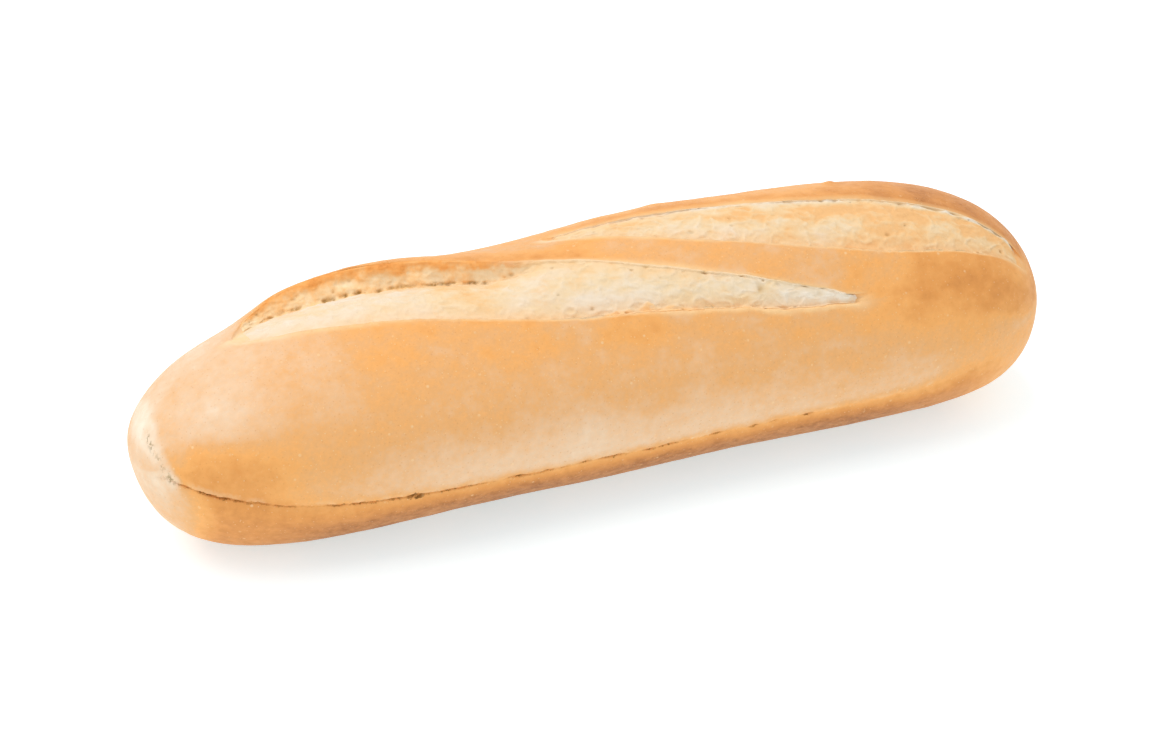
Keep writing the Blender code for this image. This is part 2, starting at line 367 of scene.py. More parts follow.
def feature_turns(x):
    """Turns of the 16 feature lines at x.

    0 bottom, 1 edge of the flat, 2-3 near crack, 4-7 left slash (near edge, its foot, crevice,
    far edge), 8-11 right slash (the same), 12-13 far crack, 14 edge of the flat, 15 bottom.
    Past the ends of a slash its four lines run on, close together.
    """
    half, _, _, _ = sizes_at(x)
    crack = crack_middle(x)
    flat = turn_at_height(x, 0.0)
    crack_low = turn_at_height(x, crack - CRACK_HALF)
    crack_high = np.minimum(turn_at_height(x, crack + CRACK_HALF), crack_low - LEAST_TURN)
    lip_turn = np.maximum(LEAST_TURN, LIP_WIDTH / np.maximum(half, 8 * MM))
    lines = [-math.pi + 0 * x, -flat, -crack_low, -crack_high]
    last = -math.pi / 2 + 0 * x
    for slash in SLASHES:
        near, crevice, far = slash_lines(slash, x)
        run_on = np.clip(-slash_share(slash, x), 0.0, 1.0) * math.radians(60.0)
        edge = np.maximum(turn_at_y(x, near) + run_on, last + 2 * LEAST_TURN)
        foot = edge + lip_turn
        bottom = np.maximum(turn_at_y(x, crevice) + run_on, foot + LEAST_TURN)
        last = np.maximum(turn_at_y(x, far) + run_on, bottom + LEAST_TURN)
        lines += [edge, foot, bottom, last]
    lines += [crack_high, crack_low, flat, math.pi + 0 * x]
    return spread_at_tips(x, np.stack(lines, axis=-1))


def spread_at_tips(x, lines):
    """Move the slashes' lines evenly apart towards each tip, and keep those of the cracks."""
    tip = smooth(-x, 92 * MM, 119 * MM) + smooth(x, 111 * MM, 119.6 * MM)
    very_tip = smooth(np.abs(x), 114 * MM, 119.6 * MM)
    spread = lines.copy()
    spread[:, [1, 14]] = np.radians([-136.0, 136.0])
    spread[:, 4:12] = np.radians(np.linspace(-70.0, 70.0, 8))
    lines = lines + (spread - lines) * tip[:, None]
    spread[:, [2, 3, 12, 13]] = np.radians([-97.0, -88.0, 88.0, 97.0])
    return lines + (spread - lines) * very_tip[:, None]


def ring_places(count):
    """x of each ring, evenly spaced along the loaf's outline, without the two tips."""
    x = -np.cos(np.linspace(0.0, math.pi, 4001)) * LENGTH / 2
    half, crown, under, _ = sizes_at(x)
    size = (half + crown + under) / 3
    run = np.append(0.0, np.cumsum(np.hypot(np.diff(x), np.diff(size))))
    return np.interp(np.linspace(0.0, run[-1], count + 2), run, x)[1:-1]


TURN_STEPS = 720


def along_skin(x, turns):
    """Distance along the skin from the bottom line to each turn, for all rings at once."""
    fine = np.linspace(-math.pi, math.pi, TURN_STEPS + 1)
    y, z, _, _ = section(np.repeat(x[:, None], fine.size, axis=1), fine[None, :])
    run = np.cumsum(np.hypot(np.diff(y, axis=1), np.diff(z, axis=1)), axis=1)
    run = np.concatenate([np.zeros((x.size, 1)), run], axis=1)
    place = (turns + math.pi) / (2 * math.pi) * TURN_STEPS
    step = np.clip(np.floor(place).astype(int), 0, TURN_STEPS - 1)
    low = np.take_along_axis(run, step, axis=1)
    high = np.take_along_axis(run, step + 1, axis=1)
    return low + (high - low) * (place - step)


class Skin:
    """A grid on the plain loaf: rings at x, and on each ring points at the given lines."""

    def __init__(self, x, line):
        """Blend the feature lines' turns ring by ring, then find points and distances.

        line is one row for all rings, or a row for each.
        """
        features = feature_turns(x)
        self.line = line + np.zeros((x.size, 1))
        self.x = x[:, None] + 0 * self.line
        below = np.clip(np.floor(self.line).astype(int), 0, features.shape[1] - 2)
        between = self.line - below
        low = np.take_along_axis(features, below, axis=1)
        high = np.take_along_axis(features, below + 1, axis=1)
        self.turn = low + (high - low) * between
        self.y, self.z, self.out_y, self.out_z = section(self.x, self.turn)
        self.walk = along_skin(x, self.turn)
        self.feature_walk = along_skin(x, features)

    def plain(self):
        """Points of the plain loaf, before its relief."""
        return np.stack([self.x, self.y, self.z], axis=-1)

    def past(self, number):
        """Signed distance along the skin from a feature line."""
        return self.walk - self.feature_walk[:, number, None]

    def points(self, lift, drag):
        """Points lifted out of the skin and dragged towards the far side, within the CAD box."""
        y = self.y + self.out_y * lift + self.out_z * drag + TIP_LINE
        z = self.z + self.out_z * lift - self.out_y * drag
        return np.clip(np.stack([self.x, y, z], axis=-1), BOX_LOW, BOX_HIGH)


# ---- relief

def opened_at(share):
    """How far a slash has opened, from 0 at its ends to 1: a power of a leaning half sine."""
    return np.sin(math.pi * np.clip(share, 0.0, 1.0) ** 0.85) ** 0.6


def slash_relief(slash, skin):
    """How far a slash lifts the skin, and how far it drags it towards the far side.

    Up to the near edge a bell of the lip's rise. Then down to the crumb, a crowned bed that
    sinks to the crevice, the wall up to the far edge, and a bell of its rise behind it.
    """
    line, first = skin.line, slash.first
    share = slash_share(slash, skin.x)
    opened = opened_at(share)
    ear_full, ear_falls, ear_gone = slash.ear_span
    crest = slash.edge * opened + slash.ear * between(share, 0.0, ear_full, ear_falls, ear_gone)
    overhang = slash.overhang * opened * crest / (slash.edge + slash.ear)
    lip = slash.lip * opened
    crumb = slash.crumb * opened
    past = past_ear(slash, share)
    crevice = opened * (slash.crevice[0] * (1 - past) + slash.crevice[1] * past)
    down, bed, wall = (np.clip(line - first - step, 0.0, 1.0) for step in range(3))
    lift = np.select(
        [line <= first, line <= first + 1, line <= first + 2, line <= first + 3],
        [
            lip * bump(skin.past(first), 0.0, LIP_REACH),
            lip - (crumb + lip) * down,
            CRUMB_CROWN * opened * np.sin(math.pi * bed) - crumb - (crevice - crumb) * bed ** 2,
            (crest + crevice) * (smooth(wall, 0.0, 1.0) + wall ** 2) / 2 - crevice,
        ],
        crest * bump(skin.past(first + 3), 0.0, EAR_REACH),
    )
    fold = bump(skin.past(first + 3), 0.0, 0.35 * EAR_REACH)
    drag = -overhang * np.where(line <= first + 3, wall ** 1.5, fold)
    return lift, drag


# Where the crack shows: place along the loaf and half length, in mm, and strength
CRACK_RUNS = (
    (-106.0, 8.0, 1.0), (-92.0, 8.0, 0.45), (-72.0, 9.0, 0.8), (-62.3, 3.2, 1.0),
    (-49.0, 8.5, 0.75), (-32.2, 2.8, 1.0), (-25.0, 4.0, 0.7), (-15.4, 1.5, 0.6),
    (-8.5, 3.4, 0.85), (1.8, 1.6, 0.9), (6.8, 3.6, 0.7), (19.8, 2.4, 0.55),
    (29.5, 1.1, 0.8), (35.0, 1.0, 0.7), (44.4, 1.3, 0.8),
)
POCKET = ((-58.3, 2.0, 1.0),)  # the crack gapes most here


def strongest(x, bells):
    """Strongest of a row of bells, each a place and a half length in mm, and a strength."""
    return np.max([
        strength * bump(x, place * MM, half * MM) for place, half, strength in bells
    ], axis=0)


def crack_height(skin):
    """Signed distance above the nearer crack, along the skin, and how open the crack is there."""
    near = skin.walk - (skin.feature_walk[:, 2] + skin.feature_walk[:, 3])[:, None] / 2
    far = (skin.feature_walk[:, 12] + skin.feature_walk[:, 13])[:, None] / 2 - skin.walk
    above = np.where(skin.line < 7.5, near, far)
    x = skin.x[:, 0]
    fine = 0.24 * MM * wavy_line(x, 3.1, 11) + 0.22 * MM * wavy_line(x, 1.1, 12)
    alive = fall(np.abs(2 * x / LENGTH), 0.94, 0.99)
    broken = smooth(wavy_line(x, 1.5, 21), -0.5, 0.1)
    least = 0.06 * fall(x, 0.0, 40 * MM)
    depth = alive * np.maximum(strongest(x, CRACK_RUNS) * (0.3 + 0.7 * broken), least)
    return above - fine[:, None], depth[:, None] * np.ones_like(above)


def band_stays(x):
    """1 where the low band shows, falling to a fifth where it fades out towards the right tip."""
    return 1 - 0.8 * smooth(x, 86 * MM, 106 * MM)


def crack_relief(skin):
    """The groove of each crack, the torn edge over it and the swollen band below."""
    above, depth = crack_height(skin)
    gape = strongest(skin.x, POCKET)
    width = CRACK_WIDTH * (0.8 + 0.5 * depth + 1.6 * gape)
    groove = -CRACK_DEPTH * (depth + 0.7 * gape) * np.exp(-np.abs(above / width) ** 2.5)
    uneven = 0.55 + 0.45 * wavy_line(skin.x[:, 0], 4.0, 33)[:, None]
    edge = CRACK_LIP * (0.4 + 0.6 * depth) * uneven * bump(above, 1.0 * MM, 0.7 * MM)
    alive = fall(np.abs(2 * skin.x / LENGTH), 0.93, 0.99)
    band = BAND_SWELL * alive * bump(above, -BAND_REACH, BAND_REACH) * band_stays(skin.x)
    return groove + edge * alive + band * smooth(-above, 0.0, 1.5 * MM)


# Small bumps of the top: x, y, radius and rise, in mm
BUMPS = ((70.0, 15.7, 2.0, 0.8), (-84.0, 26.0, 3.0, 0.6), (24.0, 22.0, 3.0, 0.3))


def crust_swell(skin):
    """Slow bumps and hollows, which fade out at the tips, then lumps and a fine grain."""
    alive = fall(np.abs(2 * skin.x / LENGTH), 0.85, 0.98)
    waves = np.sin(skin.x / SWELL_LONG + 2.1 * skin.turn)
    waves = waves + np.sin(skin.x / (0.61 * SWELL_LONG) - 3.0 * skin.turn + 1.3)
    points = skin.plain()
    lumps = LUMP * clouds(points, 7.5, 31, 2)
    grain = GRAIN * clouds(points, 1.3, 41, 2)
    lift = SWELL * alive * waves / 2 + lumps + grain
    for x, y, radius, rise in BUMPS:
        away = np.hypot(skin.x - x * MM, skin.y - y * MM)
        lift += rise * MM * bump(away, 0.0, radius * MM)
    return lift + 0.2 * MM * left_patch(skin) * clouds(points, 1.6, 51, 3)


# The crack's last stretch, which climbs the left tip: both its ends, in mm
TIP_TEAR = np.array([[-116.8, -4.2, 36.4], [-113.6, -16.0, 28.6]])


def from_tip_tear(skin):
    """Distance from the line of the tear on the left tip, uneven by a cloud."""
    start, end = TIP_TEAR * MM
    points = skin.plain()
    run = end - start
    share = np.clip((points - start) @ run / (run @ run), 0.0, 1.0)
    away = np.linalg.norm(points - start - share[..., None] * run, axis=-1)
    return away + 0.5 * MM * clouds(points, 2.4, 53, 3)


def left_patch(skin):
    """The pale torn streak along the crack on the left tip: 1 inside it, 0 outside."""
    return fall(from_tip_tear(skin), 0.9 * MM, 3.0 * MM)


def sunk_bed(slash, skin):
    """How far the crust's own bed and wall withdraw, down and away, under the crumb pieces."""
    inside = skin.line - slash.first
    share = slash_share(slash, skin.x)
    sink = BED_SINK * between(share, 0.015, 0.06, 0.965, 0.99)
    return sink * between(inside, 0.5, 0.95, 2.0, 2.4), sink * between(inside, 1.9, 2.2, 2.9, 2.985)


# ---- meshes

def add_object(name, data):
    """A new object of the scene, at the origin."""
    thing = bpy.data.objects.new(name, data)
    bpy.context.scene.collection.objects.link(thing)
    return thing


def closed_tube(name, points, tips, fields):
    """A closed skin from rings of points, with a fan to one point at each end.

    points has rings, points of a ring and x, y, z. The last point of a ring joins its first.
    fields holds a number for each point under each name, kept as the piece's attributes.
    """
    rings, count = points.shape[:2]
    number = np.arange(rings * count).reshape(rings, count)
    after = np.roll(number, -1, axis=1)
    quads = np.stack([number[:-1], number[1:], after[1:], after[:-1]], axis=-1)
    start = np.stack([number[0], after[0], np.full(count, rings * count)], axis=-1)
    stop = np.stack([after[-1], number[-1], np.full(count, rings * count + 1)], axis=-1)
    mesh = bpy.data.meshes.new(name)
    mesh.from_pydata(
        [*points.reshape(-1, 3).tolist(), *tips.tolist()], [],
        [*quads.reshape(-1, 4).tolist(), *start.tolist(), *stop.tolist()],
    )
    mesh.shade_smooth()
    for field, values in fields.items():
        ends = [values[0].mean(), values[-1].mean()]
        layer = mesh.attributes.new(field, "FLOAT", "POINT")
        layer.data.foreach_set("value", np.append(values.ravel(), ends).astype(np.float32))
    return add_object(name, mesh)


def dress(piece, material):
    """Give a piece its finish, and let it ride on the loaf's one body."""
    piece.data.materials.append(material)
    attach(piece, "root")


def grid_lines():
    """Lines of the crust's grid: each stretch between two feature lines cut evenly.

    In a wall they draw together towards the far edge, by a square.
    """
    rows = []
    for number, faces in enumerate(FACES_BETWEEN):
        share = np.linspace(0.0, 1.0, faces, endpoint=False)
        rows.append(number + (1 - (1 - share) ** 2 if number in WALLS else share))
    return np.concatenate(rows)


# ---- the crust's colour fields
# Each adds up windows, which are S-curves or bells along x and up z, both in mm. The number
# # before a window is how much browner the crust is there. Some windows, marked, paint shade or,
# # by a minus, light into the colour.

def left_end_bake_and_highlight(x, z, uneven_x):
    """Brown low on the left end, and pale over it, on its shoulder and at its very tip.

    The pale over the brown, on the shoulder and on the top is partly paler crust, partly a
    painted highlight.
    """
    very_left = smooth(-uneven_x, 112, 117)
    high = z + 4 * smooth(-x, 106, 112)
    low = smooth(-x, 80, 98) * fall(high, 31, 40) * (1 - very_left)
    # Painted highlight, partly paler crust: pale over the brown, on the shoulder and on the top.
    over = (0.17 + 0.08 * smooth(-x, 104, 112)) * smooth(-x, 86, 102) * smooth(high, 35, 40)
    shoulder = 0.13 * smooth(-x, 58, 92) * smooth(z, 36, 44)
    top = 0.07 * bump(x, -84, 12) * smooth(z, 45, 51)
    return 0.21 * low - 0.2 * very_left - over - shoulder - top


def right_end_bake_and_shade(x, z):
    """Brown on the right end, more so higher up, and paler low on its side and at its tip.

    The brown is partly browner crust, partly painted shade where the light from the left
    falls off.
    """
    low_side = 0.11 * smooth(x, 86, 104) * fall(z, 24, 38)
    low_tip = 0.1 * smooth(x, 111, 117) * fall(z, 26, 36)
    # Painted shade, partly browner crust: darker to the right, where the light falls off.
    return 0.2 * smooth(x, 62, 105) * smooth(z, 20, 46) - low_side - low_tip


def strap_bake_light_and_shade(x, up, skin):
    """Pale on the strap between the slashes, and darker under its right end.

    The pale is partly paler crust, partly painted light from above, and the darkening is
    painted shade.
    """
    blur = (0.6 + 5.4 * smooth(x, 55, 80)) * MM
    strap = smooth(skin.past(7), -0.6 * blur, 1.4 * blur) * fall(skin.line, 8.1, 8.4)
    # Painted light, partly paler crust: the strap is made paler where light from above falls.
    pale = 0.03 + 0.08 * bump(x, 40, 22) + 0.05 * smooth(x, 68, 90)
    # Painted shade: darker under the strap's right end, where the light from the left falls off.
    under = smooth(x, 48, 68) * smooth(up, 0.5, 0.85) * fall(skin.line, 6.9, 8.0)
    return 0.09 * under - pale * strap


def with_band(bake_and_painted_light, x, z, uneven_x, above):
    """The crust's tone with the browner low band laid over it, up to the crack.

    Down from the crack the band grows darker, partly browner crust, partly painted shade of
    the underside.
    """
    browned = 0.3 + 0.7 * smooth(x, -98, -75) * (1 - 0.7 * smooth(x, 60, 90))
    depth = 5 + 6 * fall(x, -85, -50)
    # Painted shade, partly browner crust: darker from the crack down towards the bottom.
    band = 0.75 - 0.04 * browned + 0.21 * browned * smooth(-above, -0.5, depth)
    band = band - 0.05 * browned * fall(z, 2, 8) - 0.5 * smooth(-uneven_x, 103, 116)
    blur = 1 + 0.6 * smooth(x, 50, 85)
    return bake_and_painted_light + (band - bake_and_painted_light) * fall(above / blur, -2.5, 3.5) * band_stays(x * MM)


def with_slash_edges(bake_and_painted_light, slash, x, skin):
    """The tone with a browned strip along a near edge, a browned ear and pale pointed ends.

    The strip fades out from the edge by an exponential, and the ear's back by a bell.
    """
    share = slash_share(slash, skin.x)
    opened = between(share, 0.0, 0.05, 0.96, 1.0)
    strip = np.exp(skin.past(slash.first) / (3.5 * MM))
    strip = np.where(skin.line <= slash.first + 0.5, strip, 0.0)
    strip = strip * smooth(x, -55, -30) * (1 - 0.6 * smooth(x, 10, 40))
    strip = 0.12 * strip * (0.4 + 1.6 * clouds(skin.plain(), 8, 77, 2))
    ear = 1 - past_ear(slash, share) if slash.ear else 0.0
    behind = (0.04 + 0.14 * ear) * bump(skin.past(slash.first + 3), 0.0, 5 * MM)
    behind = np.where(skin.line > slash.first + 2.8, behind, 0.0)
    bake_and_painted_light = bake_and_painted_light + opened * (strip + behind)
    return bake_and_painted_light - 0.8 * (bake_and_painted_light - 0.05) * pale_ends(slash, skin) * (x < 0)


def bake_and_painted_light_field(skin, above):
    """How brown the crust is, from 0, pale cream, to 1, dark brown.

    A middle tone, paler low on the side and darker near the top, and what the two ends, the
    strap and the far side add. Then come the band, the slashes' edges, the tear and mottling.
    Some of it is painted light: a highlight on the left end, shade on the right end, under the
    strap's right end and low in the band, and light on the strap and the far side's right end.
    """
    x, z, line = skin.x / MM, skin.z / MM, skin.line
    points = skin.plain()
    uneven_x = x + 5 * clouds(points, 9, 79, 2)
    up = np.where(line < 7.5, np.clip(line - 3, 0, 1), np.clip(12 - line, 0, 1))
    upper = smooth(up, 0.5, 0.9)
    right_end = smooth(x, 62, 105)
    left_end = smooth(-x, 55, 80)
    patchy = clouds(points, 15, 71, 3) * (1 + 0.8 * upper * (1 - right_end) - 0.5 * right_end)
    low = fall(up + 0.05 * patchy, 0.05, 0.52)
    pale_low = 0.22 * smooth(x, -90, -45) * (1 - 0.9 * smooth(x, 70, 105))
    brown_low = 0.05 * smooth(x, 20, 35) + 0.09 * smooth(x, 75, 95)
    bake_and_painted_light = 0.47 - 0.07 * bump(x, -16, 18) + low * (brown_low - pale_low)
    bake_and_painted_light = bake_and_painted_light + 0.08 * smooth(up, 0.6, 1.0)
    bake_and_painted_light = bake_and_painted_light - 0.05 * smooth(up, 0.75, 1.0) * bump(x, 48, 30) * (line < 5)
    bake_and_painted_light = bake_and_painted_light + left_end_bake_and_highlight(x, z, uneven_x) + right_end_bake_and_shade(x, z) + strap_bake_light_and_shade(x, up, skin)
    # Painted light: the last term pales the far side's right end, which the light reaches less.
    far_side = 0.12 - 0.12 * bump(x, 5, 20) + 0.02 * smooth(x, 40, 58) - 0.05 * smooth(x, 88, 106)
    bake_and_painted_light = with_band(bake_and_painted_light + far_side * (line > 11), x, z, uneven_x, above)
    for slash in SLASHES:
        bake_and_painted_light = with_slash_edges(bake_and_painted_light, slash, x, skin)
    bake_and_painted_light = bake_and_painted_light - 0.2 * bump(from_tip_tear(skin) / MM, -1.0, 8.0) * smooth(-x, 112, 117)
    bake_and_painted_light = bake_and_painted_light - 0.8 * (bake_and_painted_light - 0.1) * left_patch(skin)
    mottled = 0.06 * (1 - 0.6 * low) * (1 - 0.4 * left_end)
    mottled = mottled + 0.1 * upper * (1 - 0.7 * right_end) * (1 - 0.7 * left_end)
    mottled = mottled * clouds(points, (6, 5, 4), 91, 2)
    return bake_and_painted_light + 0.09 * patchy * (1 - 0.6 * low) + mottled


def pale_ends(slash, skin):
    """The pale crust round the two points of a slash, up to its far edge."""
    share = slash_share(slash, skin.x)
    right = 0.6 * between(share, 0.92, 0.97, 0.98, 1.02)
    ends = np.maximum(between(share, -0.03, 0.01, 0.05, 0.1), right)
    near = smooth(skin.past(slash.first), -2.0 * MM, 0.3 * MM)
    return ends * near * fall(skin.line, slash.first + 2, slash.first + 2.9)


def rim_field(skin):
    """The pale torn rims of the slashes: wider at the left of a near edge, thin on a far one."""
    rim = np.zeros_like(skin.x)
    for slash in SLASHES:
        share = slash_share(slash, skin.x)
        opened = between(share, 0.0, 0.03, 0.97, 1.0)
        wide = 0.4 + 1.6 * fall(share, 0.1, 0.4)
        wide = wide + (1.1 * smooth(share, 0.55, 0.7) if slash.ear else 0.0)
        wide = wide * (1 + 0.5 * wavy_line(skin.x[:, 0], 4.0, slash.first)[:, None])
        near = fall(-skin.past(slash.first) / MM, 0.0, wide)
        near = np.where(skin.line <= slash.first + 1.2, near * opened, 0.0)
        reach = 0.9 + 1.8 * bump(skin.x / MM, 14, 15)
        far = fall(skin.past(slash.first + 3) / MM, 0.0, reach)
        far = far * opened * (smooth(share, 0.4, 0.5) if slash.ear else 0.9)
        far = np.where(skin.line > slash.first + 2.9, far, 0.0)
        rim = np.max([rim, near, far, pale_ends(slash, skin)], axis=0)
    return rim


def crust_fields(skin):
    """Every number that the crust's finish reads."""
    above, depth = crack_height(skin)
    pocket = strongest(skin.x, POCKET)
    return {
        "bake_and_painted_light": bake_and_painted_light_field(skin, above / MM),
        "crack_height": above / MM,
        "crack_depth": np.maximum(depth, pocket),
        "pocket": pocket,
        "crack_lip": fall(skin.x, 78 * MM, 96 * MM),
        "rim": rim_field(skin),
        "tear": fall(from_tip_tear(skin), 0.1 * MM, 1.1 * MM),
    }


def build_crust(material):
    """The whole crust as one closed skin, with its bed sunk under the crumb pieces."""
    skin = Skin(ring_places(RINGS), grid_lines())
    lift = crack_relief(skin) + crust_swell(skin)
    drag = np.zeros_like(lift)
    for slash in SLASHES:
        raised, dragged = slash_relief(slash, skin)
        down, away = sunk_bed(slash, skin)
        lift += raised - down
        drag += dragged + away
    tips = np.array([[end, TIP_LINE, BELLY_HEIGHT] for end in (BOX_LOW[0], BOX_HIGH[0])])
    piece = closed_tube("crust_skin", skin.points(lift, drag), tips, crust_fields(skin))
    dress(piece, material)
    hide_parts("half_baguette")


# ---- the crumb

# Pits at the foot of the ear, painted dark partly as painted shade: place along the loaf and
# # half length, in mm, and strength
EAR_PITS = (
    (-88.0, 1.0, 0.5), (-81.5, 2.4, 0.55), (-75.2, 1.8, 1.0), (-70.8, 0.6, 0.4),
    (-66.4, 1.9, 0.6), (-61.9, 0.6, 0.9), (-58.3, 1.4, 0.5), (-53.7, 0.8, 0.85),
    (-48.4, 3.4, 0.55), (-40.4, 2.0, 1.0), (-36.0, 1.6, 0.35), (-31.6, 0.9, 0.7),
)
# Small pits under the edge of the strap between the slashes, and of the far crust
STRAP_PITS = (
    (8.5, 0.7, 0.35), (13.6, 0.5, 0.3), (21.6, 0.7, 0.35), (30.7, 0.5, 0.35), (46.0, 0.8, 0.5),
    (50.5, 1.0, 0.5), (57.6, 1.4, 0.6),
)
FAR_PITS = (
    (64.0, 0.6, 0.4), (81.0, 1.2, 0.4), (88.5, 2.2, 0.5), (94.5, 1.0, 0.4), (102.0, 1.8, 0.8),
    (105.2, 1.6, 0.9),
)
HOLE_AT = (34.7, 0.6)          # one round hole in the left slash: x in mm, share of its width


def healed(slash, share):
    """0 where an ear's torn wall stands over the crumb, 1 past it and in a slash without one."""
    return smooth(share, 0.4, 0.53) if slash.ear else np.ones_like(share)


def torn_form(slash, skin):
    """Lift and drag of the torn crumb, and how far across the slash each point is.

    Under an ear it is the solid's own bed, crevice and wall. Elsewhere it fills the crevice, and
    climbs by a power of its share across from under the near edge to just under the far one.
    """
    lift, drag = slash_relief(slash, skin)
    first = slash.first
    share = slash_share(slash, skin.x)
    width = skin.feature_walk[:, first + 3] - skin.feature_walk[:, first + 1]
    across = np.clip(skin.past(first + 1) / width[:, None], 0.0, 1.0)
    filled = (slash.crumb + slash.edge) * across ** 1.4 - slash.crumb
    filled = opened_at(share) * (filled + CRUMB_CROWN * np.sin(math.pi * across))
    past = np.where(skin.line > first + 1, healed(slash, share), 0.0)
    held = 0.7 * past * fall(across, 0.75, 0.98)
    return lift + (filled - lift) * past, drag * (1 - held), across


def outward(points):
    """Unit normals of a grid of points, from its own differences along and across."""
    normal = np.cross(np.gradient(points, axis=0), np.gradient(points, axis=1))
    return normal / np.maximum(np.linalg.norm(normal, axis=-1, keepdims=True), 1e-12)


def torn_relief(points, seed):
    """Torn crumb, about -1 to 1: slow lumps, curled ridges and a fine grain.

    The ridges stand where a slanting cloud, read at places that other clouds push about, crosses
    zero.
    """
    push = [clouds(points, 4.2, seed + 50 + number, 2) for number in range(3)]
    slanted = aslant(points + 1.7 * MM * np.stack(push, axis=-1))
    ridges = fall(np.abs(clouds(slanted, (4.6, 2.6, 3.4), seed + 5, 2)), 0.0, 0.32) - 0.35
    small = fall(np.abs(clouds(slanted, (2.6, 1.3, 1.8), seed + 8, 2)), 0.0, 0.3) - 0.35
    lumps = clouds(slanted, (6.0, 3.6, 5.0), seed, 2)
    return 0.4 * lumps + 0.5 * ridges + 0.3 * small + 0.12 * clouds(points, 0.7, seed + 9, 2)


def small_holes(points, seed, count, low, high):
    """Strength of scattered small holes, from 0 to 1, each a stretched bell of seeded size.

    Their middles lie between the shares low and high across the grid.
    """
    draw = np.random.default_rng(seed)
    flat = aslant(points)
    rings, lines = points.shape[:2]
    holes = np.zeros(points.shape[:2])
    for _ in range(count):
        middle = flat[draw.integers(rings), int(lines * draw.uniform(low, high))]
        size = draw.uniform(0.15, 0.42) * MM
        stretch = np.array([size * draw.uniform(1.0, 2.6), size, 2 * size])
        away = np.sum(((flat - middle) / stretch) ** 2, axis=-1)
        holes = np.maximum(holes, draw.uniform(0.2, 1.0) * np.exp(-away ** 1.5))
    return holes


def crumb_grid(slash):
    """The crumb's grid, from just inside the near edge to the far one or on under it."""
    length = slash.end[0] - slash.start[0]
    x = slash.start[0] + length * np.linspace(*CRUMB_ENDS, int(length / CRUMB_SPACING))
    walk = along_skin(x, feature_turns(x))
    next_line = walk[:, slash.first + 4] - walk[:, slash.first + 3]
    first, last = CRUMB_EDGES
    past = healed(slash, slash_share(slash, x))
    last = last + past * (3 - last + OVERLAP / next_line)
    across = np.linspace(0, 1, CRUMB_LINES)
    return Skin(x, slash.first + first + (last[:, None] - first) * across)


def near_flake(skin, first):
    """A thin flake of toasted crumb over the near edge: 1 on it, 0 off it."""
    wavy = 0.8 + 0.7 * wavy_line(skin.x[:, 0], 3.2, 61)[:, None]
    reach = 2.6 * wavy * bump(skin.x / MM, 5.0, 9.5)
    return smooth(reach - skin.past(first) / MM, 0.0, 0.4) * smooth(reach, 0.3, 1.0)


def whiteness(slash, skin, points, across):
    """Where the crumb is white rather than yellow: 1 white, 0 yellow, in soft patches."""
    x = skin.x / MM
    if slash.ear:
        along = 0.85 - 0.55 * smooth(x, -66, -32) + 0.3 * smooth(x, 28, 50)
        along = along + 0.1 * smooth(x, -56, -46) + 0.14 * smooth(x, -38, -26)
        along = along + 0.5 * bump(x, -3, 9) * fall(across, 0.2, 0.5)
    else:
        along = 0.6 - 0.35 * smooth(x, 38, 74) + 0.4 * smooth(across, 0.86, 0.97)
        along = along - 0.36 * bump(across, 0.7, 0.17) * smooth(x, -8, 8)
    return np.clip(along + 0.45 * clouds(points, (8, 4, 4), 301, 3), 0, 1)


def pits_and_scallops(slash, skin, points, across, past, seed):
    """Strength of the pits at the ear's foot and under the far edge, and of the scallops, all
    painted dark olive brown, partly as painted shade.

    The foot is a bell across the crevice that wanders along it. The pits crumble by a cloud, and
    the scallops are the hollows of another.
    """
    wander = wavy_line(skin.x[:, 0], 2.8, seed + 7)[:, None]
    foot = bump(skin.line - slash.first, 2.19 + 0.07 * wander, 0.085) * (1 - past)
    crumbly = smooth(clouds(points, 0.9, seed + 61, 3), -0.25, 0.2)
    pits = foot * strongest(skin.x, EAR_PITS) * (0.15 + 0.85 * crumbly)
    edge_pits = strongest(skin.x, STRAP_PITS if slash.ear else FAR_PITS)
    pits = np.maximum(pits, edge_pits * bump(across, 0.95, 0.035) * past)
    if slash.ear:
        hole = bump(skin.x / MM, HOLE_AT[0], 0.9) * bump(across, HOLE_AT[1], 0.12)
        pits = np.maximum(pits, 0.45 * hole)
    return pits, np.clip(clouds(points, 1.6, seed + 27, 2) * 1.8, 0, 1) * foot


def with_underside(points, back, relief):
    """Rings of the closed pad: the top with its relief, then the lines back under it.

    The underside lies in by the square root of a half sine across the slash.
    """
    out = outward(points)
    thick = CRUMB_THICK * np.sin(math.pi * back / (CRUMB_LINES - 1)) ** 0.5
    under = points[:, back] - out[:, back] * thick[:, None]
    rings = np.concatenate([points + out * relief[..., None], under], axis=1)
    return np.clip(rings, BOX_LOW, BOX_HIGH)


